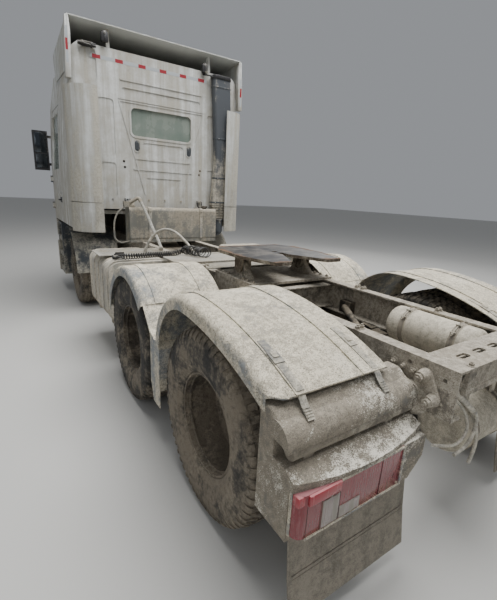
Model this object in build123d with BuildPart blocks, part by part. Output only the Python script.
from build123d import *

import os
from math import asin, atan2, cos, degrees, pi, radians, sin, tan

# Three-axle semi-trailer tractor unit with a high-roof sleeper cab over the engine.
# X runs to the truck's own left, Y to the rear and Z up, in millimetres.
# The origin lies on the ground, halfway along the truck and halfway across it.

# Layout along the truck
front_overhang = 1490
wheelbase = 3200
bogie_spacing = 1400
rear_overhang = 890
overall_length = front_overhang + wheelbase + bogie_spacing + rear_overhang
y_nose = -overall_length / 2
y_steer = y_nose + front_overhang
y_drive_front = y_steer + wheelbase
y_drive_rear = y_drive_front + bogie_spacing
y_bogie = (y_drive_front + y_drive_rear) / 2
y_tail = y_drive_rear + rear_overhang
drive_axle_ys = (y_drive_front, y_drive_rear)
sides = (("left", 1), ("right", -1))

# Wheels and tyres
tyre_radius = 540
tyre_width = 300
bead_radius = 286
rim_wall = 12
rim_width = 228
dual_spacing = 340
steer_track = 2020
drive_track = 1830
x_steer_wheel = steer_track / 2
x_drive_wheel = drive_track / 2
z_hub = tyre_radius
hub_radius = 105
disc_wall = 16
hand_holes = 8
hand_hole_circle = 186
hand_hole_radius = 24
bearing_gap = 0.3
contact_gap = 0.3
moving_gap = 6

# Frame
frame_half_width = 430
frame_top = 1070
rail_height = 250
rail_flange = 80
rail_wall = 12
y_rail_front = y_nose + 200
rail_bottom = frame_top - rail_height
rail_mid = frame_top - rail_height / 2
web_inner = frame_half_width - rail_wall
flange_edge = frame_half_width - rail_flange
member_height = 200
member_depth = 80
member_wall = 10
web_hole_radius = 11

# Steering axle
kingpin_x = 850
kingpin_radius = 25
eye_radius = 50
eye_height = 120
beam_depth = 90
beam_height = 90
beam_drop = 85
beam_flange = 20
beam_pocket = 30
spindle_radius = 40
steer_arm = 220
rod_radius = 22
z_rod = z_hub - 150

# Drive axles
axle_tube_radius = 75
drive_spindle_radius = 45
drive_spindle_length = 110
banjo_radius = 225
banjo_width = 240
nose_radius = 85
nose_length = 300

# Springs
spring_width = 90
spring_leaf = 22
front_spring_half = 820
front_spring_rise = 120
x_drive_spring = 520
pad_height = 25
trunnion_radius = 55
z_trunnion = z_hub + 20
torque_rod_radius = 28

# Cab
cab_length = 2230
cab_nose_gap = 60
y_cab_front = y_nose + cab_nose_gap
y_cab_rear = y_cab_front + cab_length
cab_half_width = 1240
cab_top_lean = 50
cab_top_half_width = cab_half_width - cab_top_lean
cab_wall = 50
cab_front_bottom = 940
cab_floor_bottom = 1430
cab_floor_wall = 45
z_sill = 1950
z_belt = 2000
rear_wall_bottom = 1500
y_tilt = y_cab_front + 80
z_tilt = 880
tilt_pin_radius = 20
glass_wall = 8

# Doors, and the roof above them
door_front = y_cab_front + 220
door_width = 980
door_bottom = 1230
door_top = 2880
z_roof_seam = door_top + 70
z_roof_rear = z_roof_seam + 490
z_roof_crown = z_roof_seam + 570
door_slant = 170
door_gap = 12
pin_radius = 8
knuckle_radius = 16
knuckle_height = 60
hinge_heights = (1450, 1880)

# Fairings
fairing_wall = 8
deflector_reach = 200
deflector_fold = 340
deflector_bottom = 1200
deflector_split = 1580
spoiler_half_width = 1246
spoiler_rise = 145
spoiler_top = z_roof_crown + spoiler_rise

# Fifth wheel
y_fifth = y_bogie - 350
z_fifth_pivot = 1180
plate_top = 1290
plate_wall = 26
plate_half_width = 440
plate_front = 430
plate_rear = 480
kingpin_bore = 25.6
pivot_pin_radius = 25
pedestal_x = 330
pedestal_wall = 50
base_wall = 20

# Drive fenders
fender_radius = 620
fender_wall = 6
fender_inner = 590
fender_outer = 1250
fender_lip = 84
fender_shoulder = 36
cover_corner = 70
corner_set_in = 3
panel_set_in = 16
panel_bottom = 300
panel_taper = 50
band_height = 7
band_width = 60
band_xs = (730, 1110)
front_cover_start = 43
front_cover_stop = 168
crown_y = y_drive_rear - 200
crown_z = 1215
cover_rear_y = y_drive_rear + 645
cover_rear_z = 1030
valley_y = y_drive_rear - 670
valley_z = 800
lower_bottom = 430
valley_half = 100
valley_wall_front = y_bogie - valley_half + fender_wall
valley_wall_rear = y_bogie + valley_half - 20 - fender_wall

fender_tube_radius = 24
z_fender_tube = z_trunnion - trunnion_radius - fender_tube_radius - 3

# Front fender arms: from the frame to a tab inside each front arch
tab_start = 99
tab_stop = 117
tab_height = 60
tab_angle = (tab_start + tab_stop) / 2
front_arm_depth = 60
front_arm_height = 44
y_front_arm = y_drive_front + (fender_radius - tab_height / 2) * cos(radians(tab_angle))
z_front_arm = z_hub + (fender_radius - tab_height / 2) * sin(radians(tab_angle)) - 22

# Tail bodies, their support bars, lamps and mudflaps
tail_inner = 480
tail_front = y_drive_rear + 565
tail_lip_y = y_drive_rear + 745
tail_lip_z = 872
bar_y = y_drive_rear + 708
bar_z = 845
bar_radius = 32
ledge_rear = y_drive_rear + 832
ledge_z = 742
tail_bottom = 500
lamp_height = 200
lamp_depth = 55
lamp_width = 600
tail_wall = 10
tail_top = cover_rear_z - 28
tail_back = ledge_rear - lamp_depth - tail_wall
slot_reach = 50
tail_edge_round = 16
ledge_bow = 45
lamp_corner = 40
lamp_inner = fender_outer - 12 - lamp_width
lamp_seat_gap = 1
housing_chamfer = 90
clamp_depth = 44
clamp_width = 50
clamp_xs = (640, 1120)
z_slot_top = bar_z + bar_radius + 9
z_slot_floor = bar_z - bar_radius - 8
flap_bottom = 110
flap_wall = 8


# Free leads and hoses: routes chosen by eye, from the fitting that each leaves
braided_diameter = 38
braided_route = (
    (455, -860, 1613), (420, -795, 1500), (402, -690, 1390), (402, -560, 1290),
    (412, -410, 1220), (432, -270, 1168), (458, -140, 1135), (492, -20, 1121),
)
arched_diameter = 30
arched_route = (
    (704, 96, 1140), (676, 106, 1215), (614, 148, 1312), (532, 214, 1366),
    (446, 298, 1346), (374, 378, 1264), (322, 434, 1186), (300, 458, 1140),
)
coil_diameter = 68
coil_route = (
    (1085, 448, 1112.3), (985, 441, 1112.3), (880, 425, 1112.3), (770, 402, 1112.3),
    (665, 387, 1112.3), (560, 367, 1112.3), (460, 356, 1112.3),
)
coil_plug_length = 70
coil_plug_diameter = 46
heap_ends = ((392, 330), (250, 700))
heap_width = 190
heap_height = 125
heap_round = 40
sleeve_diameter = 30
sleeve_route = (
    (392, 3370, 988), (392, 3414, 988), (372, 3450, 957), (310, 3456, 905), (232, 3458, 847), (155, 3458, 788),
)
collar_diameter = 40
collar_length = 16
tail_hose_diameter = 18
hose_routes = (
    ((142.3, 3467.5, 778.3), (120, 3473, 735), (134, 3478, 672), (168, 3478, 620), (224, 3476, 594),
     (285, 3474, 590)),
    ((142.3, 3448.5, 778.3), (112, 3452, 735), (92, 3462, 682), (82, 3474, 628), (79, 3477, 575),
     (85, 3476, 520), (98, 3472, 468)),
)
thin_hose_diameter = 14
thin_hose_route = (
    (380, 3370, 952), (380, 3408, 952), (356, 3444, 914), (300, 3452, 866), (240, 3456, 812), (202, 3464, 752),
    (202, 3472, 698), (245, 3476, 662), (310, 3476, 656), (375, 3474, 675), (440, 3470, 700), (500, 3468, 722),
)


def save(piece, name):
    """Labels a finished sub-part and writes it to its own file."""
    piece.part.label = name
    export_step(piece.part, f"parts/{name}.step")


def bent_tube(points, diameter):
    """Tube along straight runs joined by arcs as large as the runs allow."""
    stops = [Vector(point) for point in points]
    radii = []
    for before, corner, after in zip(stops, stops[1:], stops[2:]):
        arriving = corner - before
        leaving = after - corner
        half_turn = radians(arriving.get_angle(leaving)) / 2
        radii.append(0.45 * min(arriving.length, leaving.length) / tan(half_turn))
    with BuildPart() as tube:
        with BuildLine() as route:
            FilletPolyline(*points, radius=radii)
        with BuildSketch(Plane(origin=stops[0], z_dir=stops[1] - stops[0])):
            Circle(diameter / 2)
        sweep()
    expected = pi * diameter ** 2 / 4 * route.wires()[0].length
    print("tube", diameter, "length", round(route.wires()[0].length), "radii", [round(r) for r in radii],
          "volume share", round(tube.part.volume / expected, 4))
    return tube.part


def nozzle(end, before, diameter, length):
    """Round fitting that carries a tube's last run on, from its end point."""
    with BuildPart() as fitting:
        with BuildSketch(Plane(origin=end, z_dir=Vector(end) - Vector(before))):
            Circle(diameter / 2)
        extrude(amount=length)
    return fitting.part


def across(y):
    """Upright plane across the truck at y, with local x to the left and local y up."""
    return Plane.XZ.offset(-y)


def wheel_plane(y):
    """Upright plane across the truck through a wheel centre at y."""
    return Plane(origin=(0, y, z_hub), x_dir=(1, 0, 0), z_dir=(0, -1, 0))


def wheel_axis(y):
    """Axis of a wheel whose centre is at y."""
    return Axis((0, y, z_hub), (1, 0, 0))


os.makedirs("parts", exist_ok=True)

# Frame: two channel rails with their open sides facing each other, and drilled webs
tail_hole_rows = ((-60, 60), (-60, -60), (-150, 60), (-150, -60), (-240, 80), (-240, -80))
with BuildPart() as frame_rails:
    with BuildSketch(across(y_rail_front)):
        for _, sign in sides:
            with Locations((sign * (frame_half_width - rail_flange / 2), rail_mid)):
                Rectangle(rail_flange, rail_height)
            with Locations((sign * (web_inner - rail_flange / 2), rail_mid)):
                Rectangle(rail_flange, rail_height - 2 * rail_wall, mode=Mode.SUBTRACT)
    extrude(amount=-(y_tail - y_rail_front))
    with BuildSketch(Plane.YZ):
        with Locations([(y_tail + dy, rail_mid + dz) for dy, dz in tail_hole_rows]):
            Circle(web_hole_radius)
    extrude(amount=2 * frame_half_width, both=True, mode=Mode.SUBTRACT)
save(frame_rails, "frame_rails")

# Intermediate crossmembers: pressed channels between the rail webs
member_ys = (y_rail_front + 130, y_steer + 2150, y_bogie)
with BuildPart() as crossmembers:
    for y in member_ys:
        with Locations((0, y, rail_mid)):
            Box(2 * web_inner, member_depth, member_height)
        with Locations((0, y + member_wall, rail_mid)):
            Box(2 * web_inner, member_depth, member_height - 2 * member_wall, mode=Mode.SUBTRACT)
save(crossmembers, "crossmembers")

# Rear crossmember: top plate with oval holes, framed blank rear face and lower beam
tail_member_depth = 200
tail_face_height = 135
tail_face_recess = 8
tail_frame_width = 18
tail_slot_length = 90
tail_slot_width = 40
tail_slot_pitch = 150
tail_plate_wall = 10
tail_beam_height = 60
tail_beam_depth = 60
tail_beam_inset = 88
hose_clip_width = 54
hose_clip_height = 76
hose_clip_depth = 24
bead_radius_small = 7
with BuildPart() as rear_crossmember:
    with Locations((0, y_tail - tail_member_depth / 2, frame_top - tail_plate_wall / 2)):
        Box(2 * flange_edge, tail_member_depth, tail_plate_wall)
    with BuildSketch(Plane.XY.offset(frame_top)):
        with Locations([(i * tail_slot_pitch, y_tail - tail_member_depth / 2) for i in (-1.5, -0.5, 0.5, 1.5)]):
            SlotOverall(tail_slot_length, tail_slot_width)
    extrude(amount=-tail_plate_wall, mode=Mode.SUBTRACT)
    with Locations((0, y_tail - tail_plate_wall, frame_top - tail_face_height / 2)):
        Box(2 * flange_edge, 2 * tail_plate_wall, tail_face_height)
    with BuildSketch(across(y_tail)):
        with Locations((0, frame_top - tail_face_height / 2)):
            Rectangle(2 * (flange_edge - tail_frame_width), tail_face_height - 2 * tail_frame_width)
    extrude(amount=tail_face_recess, mode=Mode.SUBTRACT)
    with Locations(Location((0, y_tail - bead_radius_small - 1, frame_top - tail_face_height + tail_frame_width), (0, 90, 0))):
        Cylinder(bead_radius_small, 2 * (flange_edge - tail_frame_width))
    with Locations((0, y_tail - tail_beam_inset, frame_top - tail_face_height - tail_beam_height / 2)):
        Box(2 * flange_edge, tail_beam_depth, tail_beam_height)
    with Locations((0, y_tail - tail_beam_inset - (tail_beam_depth - tail_plate_wall) / 2,
                    frame_top - (tail_face_height + tail_plate_wall) / 2)):
        Box(2 * flange_edge, tail_plate_wall, tail_face_height - tail_plate_wall)
    with Locations((0, y_tail - tail_member_depth + 5, frame_top - 60)):
        Box(2 * flange_edge, tail_plate_wall, 120)
    with BuildSketch(across(thin_hose_route[0][1])):
        with Locations((web_inner - hose_clip_width / 2, (thin_hose_route[0][2] + sleeve_route[0][2]) / 2)):
            Rectangle(hose_clip_width, hose_clip_height)
    extrude(amount=hose_clip_depth)
save(rear_crossmember, "rear_crossmember")

# Axles: a dropped forged I-beam in front and two banjo drive axles
beam_top_mid = z_hub - beam_drop + beam_height / 2
beam_low_mid = beam_top_mid - beam_height
beam_bend = 480
pocket_end = kingpin_x - eye_radius - 20
with BuildPart() as axles:
    with BuildSketch(across(y_steer - beam_depth / 2)):
        with BuildLine():
            Polyline(
                (0, beam_low_mid),
                (beam_bend, beam_low_mid),
                (kingpin_x - 130, z_hub - beam_height / 2),
                (kingpin_x, z_hub - beam_height / 2),
                (kingpin_x, z_hub + beam_height / 2),
                (kingpin_x - 160, z_hub + beam_height / 2),
                (beam_bend - 30, beam_top_mid),
                (0, beam_top_mid),
                close=True,
            )
        make_face()
        mirror(about=Plane.YZ)
    extrude(amount=-beam_depth)
    for face_y, depth in ((y_steer - beam_depth / 2, -beam_pocket), (y_steer + beam_depth / 2, beam_pocket)):
        with BuildSketch(across(face_y)):
            with BuildLine():
                Polyline(
                    (0, beam_low_mid + beam_flange),
                    (beam_bend, beam_low_mid + beam_flange),
                    (kingpin_x - 130, z_hub - beam_height / 2 + beam_flange),
                    (pocket_end, z_hub - beam_height / 2 + beam_flange),
                    (pocket_end, z_hub + beam_height / 2 - beam_flange),
                    (kingpin_x - 160, z_hub + beam_height / 2 - beam_flange),
                    (beam_bend - 30, beam_top_mid - beam_flange),
                    (0, beam_top_mid - beam_flange),
                    close=True,
                )
            make_face()
            mirror(about=Plane.YZ)
        extrude(amount=depth, mode=Mode.SUBTRACT)
    for _, sign in sides:
        with Locations((sign * kingpin_x, y_steer, z_hub)):
            Cylinder(eye_radius, eye_height)
            Cylinder(kingpin_radius + bearing_gap, eye_height, mode=Mode.SUBTRACT)
    x_axle_end = x_drive_wheel - dual_spacing / 2 - 60
    for y in drive_axle_ys:
        with Locations(Location((0, y, z_hub), (0, 90, 0))):
            Cylinder(axle_tube_radius, 2 * x_axle_end)
            Cylinder(drive_spindle_radius, 2 * (x_axle_end + drive_spindle_length))
        with Locations(Location((0, y, z_hub), (90, 0, 0))):
            Cylinder(banjo_radius, banjo_width)
        with Locations(Location((0, y - nose_length, z_hub), (-90, 0, 0))):
            Cylinder(nose_radius, nose_length, align=(Align.CENTER, Align.CENTER, Align.MIN))
        for _, sign in sides:
            with Locations((sign * x_drive_spring, y, z_hub + axle_tube_radius)):
                Box(spring_width, 130, 2 * pad_height)
            with Locations(Location((sign * 285, y - 240, z_hub + 120), (90, 0, 0))):
                Cylinder(72, 150)
            with Locations((sign * 285, y - 90, z_hub + 75)):
                Box(50, 170, 120)
            with Locations((sign * 440, y, z_hub - axle_tube_radius - 15)):
                Box(50, 90, 90)
save(axles, "axles")

# Front leaf springs with hangers
spring_leaves = 4
spring_pad_top = beam_top_mid
with BuildPart() as front_springs:
    for leaf in range(spring_leaves):
        half = front_spring_half * (1 - 0.2 * (spring_leaves - 1 - leaf))
        low = spring_pad_top + leaf * spring_leaf
        rise = front_spring_rise * (half / front_spring_half) ** 2
        with BuildSketch(Plane.YZ):
            with BuildLine():
                ThreePointArc((y_steer - half, low + rise), (y_steer, low), (y_steer + half, low + rise))
                Line((y_steer + half, low + rise), (y_steer + half, low + rise + spring_leaf))
                ThreePointArc(
                    (y_steer + half, low + rise + spring_leaf),
                    (y_steer, low + spring_leaf),
                    (y_steer - half, low + rise + spring_leaf),
                )
                Line((y_steer - half, low + rise + spring_leaf), (y_steer - half, low + rise))
            make_face()
        extrude(amount=spring_width / 2, both=True)
    hanger_low = spring_pad_top + front_spring_rise + 20
    for end in (-1, 1):
        with Locations((0, y_steer + end * (front_spring_half - 40), (hanger_low + rail_bottom) / 2)):
            Box(spring_width, 100, rail_bottom - hanger_low)
    with Locations((0, y_steer, spring_pad_top + spring_leaves * spring_leaf + 10)):
        Box(spring_width + 20, 150, 20)
# Bogie suspension: trunnion shaft and brackets, leaf packs over it, torque rods
bogie_leaf = 26
bogie_leaves = 5
z_pad = z_hub + axle_tube_radius + pad_height
bogie_half = bogie_spacing / 2 + 60
bracket_wall = 40
x_bracket = frame_half_width + bracket_wall / 2
with BuildPart() as bogie_suspension:
    for _, sign in sides:
        with Locations(Location((sign * frame_half_width, y_bogie, z_trunnion), (0, sign * 90, 0))):
            Cylinder(
                trunnion_radius,
                x_drive_spring + spring_width / 2 - frame_half_width,
                align=(Align.CENTER, Align.CENTER, Align.MIN),
            )
        with BuildSketch(Plane.YZ.offset(sign * frame_half_width)):
            with BuildLine():
                Polyline(
                    (y_bogie - 220, rail_mid + 60),
                    (y_bogie + 220, rail_mid + 60),
                    (y_bogie + 200, rail_bottom),
                    (y_bogie + 90, z_trunnion - 100),
                    (y_bogie - 90, z_trunnion - 100),
                    (y_bogie - 200, rail_bottom),
                    close=True,
                )
            make_face()
        extrude(amount=sign * bracket_wall)
        with Locations((sign * x_drive_spring, y_bogie, (z_trunnion + z_pad) / 2 + 20)):
            Box(spring_width, 240, z_pad - z_trunnion + 40)
        for leaf in range(bogie_leaves):
            half = bogie_half - leaf * 110
            low = z_pad + leaf * bogie_leaf
            sag = 40
            x_face = sign * (x_drive_spring - spring_width / 2)
            with BuildSketch(Plane.YZ.offset(x_face)):
                with BuildLine():
                    ThreePointArc((y_bogie - half, low), (y_bogie, low + sag), (y_bogie + half, low))
                    Line((y_bogie + half, low), (y_bogie + half, low + bogie_leaf))
                    ThreePointArc(
                        (y_bogie + half, low + bogie_leaf),
                        (y_bogie, low + sag + bogie_leaf),
                        (y_bogie - half, low + bogie_leaf),
                    )
                    Line((y_bogie - half, low + bogie_leaf), (y_bogie - half, low))
                make_face()
            extrude(amount=sign * spring_width)

# Torque rods: lower rods to the trunnion brackets and upper rods to the rail webs
rod_eye_radius = 48
z_upper_rod = z_hub + banjo_radius + 45
rod_bracket_height = 100
with BuildPart() as torque_rods:
    for y, toward in ((y_drive_front, 1), (y_drive_rear, -1)):
        for _, sign in sides:
            start = Vector(sign * 70, y, z_upper_rod)
            end = Vector(sign * (web_inner - 60), y + toward * 480, rail_bottom + rail_wall + rod_bracket_height / 2 + 3)
            run = end - start
            with BuildSketch(Plane(origin=start, z_dir=run)):
                Circle(torque_rod_radius)
            extrude(amount=run.length)
            with Locations(start):
                Cylinder(rod_eye_radius, 90)
            with Locations(end + Vector(sign * 30, 0, 0)):
                Box(60, 120, rod_bracket_height)
with BuildPart() as suspension:
    with Locations([(sign * (frame_half_width - rail_flange / 2), 0, 0) for _, sign in sides]):
        add(front_springs.part)
    add(bogie_suspension.part)
    add(torque_rods.part)
save(suspension, "suspension")

# Propeller shafts with ball-shaped joint ends
joint_radius = 60
shaft_radius = 52
y_gearbox_end = y_steer + 1380
z_gearbox_out = 800
first_start = Vector(0, y_gearbox_end + joint_radius + contact_gap, z_gearbox_out)
first_end = Vector(0, y_drive_front - nose_length - joint_radius - contact_gap, z_hub)
link_start = Vector(0, y_drive_front + banjo_width / 2 + joint_radius + contact_gap, z_hub + 60)
link_end = Vector(0, y_drive_rear - nose_length - joint_radius - contact_gap, z_hub)
with BuildPart() as prop_shafts:
    for start, end in ((first_start, first_end), (link_start, link_end)):
        run = end - start
        with BuildSketch(Plane(origin=start, z_dir=run)):
            Circle(shaft_radius)
        extrude(amount=run.length)
        with Locations(start, end):
            Sphere(joint_radius)
save(prop_shafts, "prop_shafts")

# Engine, gearbox and radiator as plain blocks on feet that reach the rail webs
engine_front = y_nose + 560
engine_back = y_steer + 300
engine_half = 330
engine_bottom = 620
engine_top = 1380
radiator_wall = 90
radiator_back = engine_front - 60
with BuildPart() as engine:
    with BuildSketch(Plane.XY.offset(engine_bottom)):
        with Locations((0, (engine_front + engine_back) / 2)):
            Rectangle(2 * engine_half, engine_back - engine_front)
    extrude(amount=engine_top - engine_bottom)
    with BuildSketch(across(engine_back)):
        with Locations((0, 880)):
            Rectangle(500, 420)
    with BuildSketch(across(y_gearbox_end)):
        with Locations((0, z_gearbox_out)):
            Rectangle(260, 260)
    loft()
    with Locations((0, radiator_back - radiator_wall / 2, 1000)):
        Box(2 * (flange_edge - 20), radiator_wall, 700)
    with Locations(
        (0, engine_front + 300, rail_mid - 20),
        (0, engine_back - 250, rail_mid - 20),
        (0, radiator_back - radiator_wall / 2, rail_mid),
    ):
        Box(2 * web_inner, 80, 60)
save(engine, "engine")

# Fuel tank: rounded-square section with raised ribs and a filler neck
tank_front = y_steer + 1500
tank_rear = y_drive_front - fender_radius - 90
tank_inner = 540
tank_outer = 1215
tank_bottom = 430
tank_top = 1070
tank_corner = 110
tank_rib = 10
tank_mid_x = (tank_inner + tank_outer) / 2
tank_mid_z = (tank_bottom + tank_top) / 2
tank_rib_ys = [tank_front + (tank_rear - tank_front) * share for share in (0.08, 0.3, 0.5, 0.7, 0.92)]
filler_radius = 55
with BuildPart() as fuel_tank:
    with BuildSketch(across(tank_front)):
        with Locations((tank_mid_x, tank_mid_z)):
            RectangleRounded(
                tank_outer - tank_inner - 2 * tank_rib, tank_top - tank_bottom - 2 * tank_rib, tank_corner
            )
    extrude(amount=-(tank_rear - tank_front))
    for y in tank_rib_ys:
        with BuildSketch(across(y - 15)):
            with Locations((tank_mid_x, tank_mid_z)):
                RectangleRounded(tank_outer - tank_inner, tank_top - tank_bottom, tank_corner + tank_rib)
        extrude(amount=-30)
    with Locations((tank_outer - 160, tank_rear - 160, tank_top - tank_rib)):
        Cylinder(filler_radius, 45, align=(Align.CENTER, Align.CENTER, Align.MIN))
save(fuel_tank, "fuel_tank")

# Exhaust treatment box on the right, with a short tailpipe
box_height = tank_top - tank_bottom
with BuildPart() as exhaust_box:
    with BuildSketch(across(tank_front)):
        with Locations((-tank_mid_x, tank_mid_z)):
            RectangleRounded(tank_outer - tank_inner, box_height, 60)
    extrude(amount=-(tank_rear - tank_front))
    with Locations(Location((-tank_inner - 120, tank_rear, tank_bottom + 140), (-90, 0, 0))):
        Cylinder(60, 90, align=(Align.CENTER, Align.CENTER, Align.MIN))
        Cylinder(54, 90, align=(Align.CENTER, Align.CENTER, Align.MIN), mode=Mode.SUBTRACT)
save(exhaust_box, "exhaust_box")

# Side brackets: L-shaped arms under the tank and the exhaust box
arm_height = 45
arm_width = 60
bracket_ys = [tank_front + (tank_rear - tank_front) * share for share in (0.19, 0.81)]
with BuildPart() as side_brackets:
    for _, sign in sides:
        for y in bracket_ys:
            with Locations((sign * (frame_half_width + 20), y, (tank_bottom + rail_mid) / 2)):
                Box(40, arm_width, rail_mid - tank_bottom + 100)
            with Locations((sign * (frame_half_width + tank_outer - 60) / 2, y, tank_bottom - arm_height / 2)):
                Box(tank_outer - 60 - frame_half_width, arm_width, arm_height)
    for y in bracket_ys:
        with Locations((tank_mid_x, y, tank_bottom + tank_rib / 2)):
            Box(tank_outer - tank_inner - 2 * tank_corner - 2 * tank_rib, arm_width, tank_rib)

# Air tanks: one along the inside of the right rail and one across under the tail, on straps
reservoir_radius = 122
reservoir_front = y_drive_rear + 60
reservoir_length = 600
reservoir_gap = 14
reservoir_x = -(web_inner - reservoir_radius - reservoir_gap)
cross_radius = 150
cross_left = 120
cross_right = -330
cross_y = y_tail - 185
z_cross = rail_bottom - 75 - cross_radius
strap_wall = 4
strap_width = 40
dome = 45
with BuildPart() as air_tanks:
    with Locations(Location((reservoir_x, reservoir_front, rail_mid), (-90, 0, 0))):
        Cylinder(reservoir_radius, reservoir_length, align=(Align.CENTER, Align.CENTER, Align.MIN))
    fillet(edges().filter_by(GeomType.CIRCLE), dome)
    for share in (0.22, 0.78):
        y = reservoir_front + share * reservoir_length
        with Locations(Location((reservoir_x, y, rail_mid), (90, 0, 0))):
            Cylinder(reservoir_radius + strap_wall, strap_width)
        with Locations((-web_inner + 30, y, rail_mid)):
            Box(60, strap_width, 100)
with BuildPart() as cross_tank:
    with Locations(Location((cross_left, cross_y, z_cross), (0, -90, 0))):
        Cylinder(cross_radius, cross_left - cross_right, align=(Align.CENTER, Align.CENTER, Align.MIN))
    fillet(edges().filter_by(GeomType.CIRCLE), dome)
    for share in (0.2, 0.85):
        x = cross_left + share * (cross_right - cross_left)
        with Locations(Location((x, cross_y, z_cross), (0, 90, 0))):
            Cylinder(cross_radius + strap_wall, strap_width)
        with Locations((x, cross_y + 60, z_cross + (cross_radius + rail_bottom - z_cross) / 2 + 30)):
            Box(strap_width, 12, rail_bottom - z_cross - cross_radius + 100)
    with Locations((0, cross_y + 60, rail_bottom + 50)):
        Box(2 * web_inner, 12, 60)
with BuildPart() as tank_pair:
    add(air_tanks.part)
    add(cross_tank.part)
save(tank_pair, "air_tanks")

# Fifth wheel base: pedestals on a mounting plate above the frame, with bores for the tilt pins
base_length = 620
mount_plate_top = frame_top + base_wall
pedestal_bore = pivot_pin_radius + 0.05
with BuildPart() as fifth_wheel_base:
    with Locations((0, y_fifth, frame_top + base_wall / 2)):
        Box(2 * frame_half_width, base_length, base_wall)
    for _, sign in sides:
        with BuildSketch(Plane.YZ.offset(sign * (pedestal_x - pedestal_wall / 2))):
            with BuildLine():
                Polyline(
                    (y_fifth - 150, mount_plate_top),
                    (y_fifth - 55, z_fifth_pivot),
                    (y_fifth - 30, z_fifth_pivot + 42),
                    (y_fifth + 30, z_fifth_pivot + 42),
                    (y_fifth + 55, z_fifth_pivot),
                    (y_fifth + 150, mount_plate_top),
                    close=True,
                )
            make_face()
        extrude(amount=sign * pedestal_wall)
    with Locations(Location((0, y_fifth, z_fifth_pivot), (0, 90, 0))):
        Cylinder(pedestal_bore, 2 * frame_half_width, mode=Mode.SUBTRACT)
save(fifth_wheel_base, "fifth_wheel_base")

# Fifth wheel: tilting coupling plate with a kingpin bore and an open throat to the rear
ear_wall = 20
ear_gap = 4
kingpin_y = y_fifth
throat_half = 30
jaw_reach = 70
throat_mouth = 190
with BuildPart() as fifth_wheel:
    with BuildSketch(Plane.XY.offset(plate_top)):
        with BuildLine():
            Polyline(
                (-plate_half_width + 110, kingpin_y - plate_front),
                (plate_half_width - 110, kingpin_y - plate_front),
                (plate_half_width, kingpin_y - plate_front + 180),
                (plate_half_width, kingpin_y + 140),
                (throat_mouth + 150, kingpin_y + plate_rear),
                (throat_mouth, kingpin_y + plate_rear),
                (throat_half, kingpin_y + 160),
                (throat_half, kingpin_y + jaw_reach),
                (-throat_half, kingpin_y + jaw_reach),
                (-throat_half, kingpin_y + 160),
                (-throat_mouth, kingpin_y + plate_rear),
                (-throat_mouth - 150, kingpin_y + plate_rear),
                (-plate_half_width, kingpin_y + 140),
                (-plate_half_width, kingpin_y - plate_front + 180),
                close=True,
            )
        make_face()
        with Locations((0, kingpin_y)):
            Circle(kingpin_bore, mode=Mode.SUBTRACT)
    extrude(amount=-plate_wall)
    for _, sign in sides:
        for side_x in (pedestal_x - pedestal_wall / 2 - ear_gap - ear_wall / 2, pedestal_x + pedestal_wall / 2
                       + ear_gap + ear_wall / 2):
            with Locations((sign * side_x, y_fifth, (plate_top - plate_wall + z_fifth_pivot) / 2)):
                Box(ear_wall, 110, plate_top - plate_wall - z_fifth_pivot)
            with Locations(Location((sign * side_x, y_fifth, z_fifth_pivot), (0, 90, 0))):
                Cylinder(55, ear_wall)
        with Locations(Location((sign * pedestal_x, y_fifth, z_fifth_pivot), (0, 90, 0))):
            Cylinder(pivot_pin_radius, pedestal_wall + 2 * ear_gap + 2 * ear_wall)
save(fifth_wheel, "fifth_wheel")

# Hydraulic tank behind the cab, standing on a cradle with two straps
hydraulic_y = y_cab_rear + 190
hydraulic_depth = 220
hydraulic_left = 600
hydraulic_right = -700
hydraulic_bottom = 1090
hydraulic_top = 1540
strap_xs = (320, -450)
valve_x = 610
valve_y = hydraulic_y + 50
valve_width = 100
valve_depth = 60
valve_height = 70
elbow_reach = 70
elbow_diameter = 46
braided_exit = Vector(braided_route[0])
elbow_corner = braided_exit - (Vector(braided_route[1]) - braided_exit).normalized() * elbow_reach
guard_y = hydraulic_y + 60
guard_diameter = 22
with BuildPart() as hydraulic_tank:
    with BuildSketch(Plane.YZ.offset(hydraulic_right)):
        with Locations((hydraulic_y, (hydraulic_bottom + hydraulic_top) / 2)):
            RectangleRounded(hydraulic_depth, hydraulic_top - hydraulic_bottom, 45)
    extrude(amount=hydraulic_left - hydraulic_right)
    with Locations(((hydraulic_left + hydraulic_right) / 2, hydraulic_y, frame_top + 20)):
        Box(hydraulic_left - hydraulic_right, hydraulic_depth, 40)
    for x in strap_xs:
        with BuildSketch(Plane.YZ.offset(x - 25)):
            with Locations((hydraulic_y, (hydraulic_bottom + hydraulic_top) / 2)):
                RectangleRounded(hydraulic_depth + 12, hydraulic_top - hydraulic_bottom + 12, 50)
        extrude(amount=50)
    with Locations((valve_x, valve_y, hydraulic_top + valve_height / 2)):
        Box(valve_width, valve_depth, valve_height)
    add(bent_tube(((valve_x, valve_y, hydraulic_top + valve_height / 2), elbow_corner.to_tuple(), braided_route[0]),
                  elbow_diameter))
    add(bent_tube(
        (
            (valve_x, guard_y, hydraulic_top + valve_height / 2),
            (hydraulic_left + 150, guard_y, hydraulic_top - 75),
            (hydraulic_left + 197, guard_y, hydraulic_top - 210),
            (hydraulic_left + 197, guard_y, hydraulic_bottom + 30),
            (hydraulic_left + 120, guard_y, frame_top - 10),
            (hydraulic_left - 30, guard_y, frame_top + 20),
        ),
        guard_diameter,
    ))
save(hydraulic_tank, "hydraulic_tank")

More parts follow.
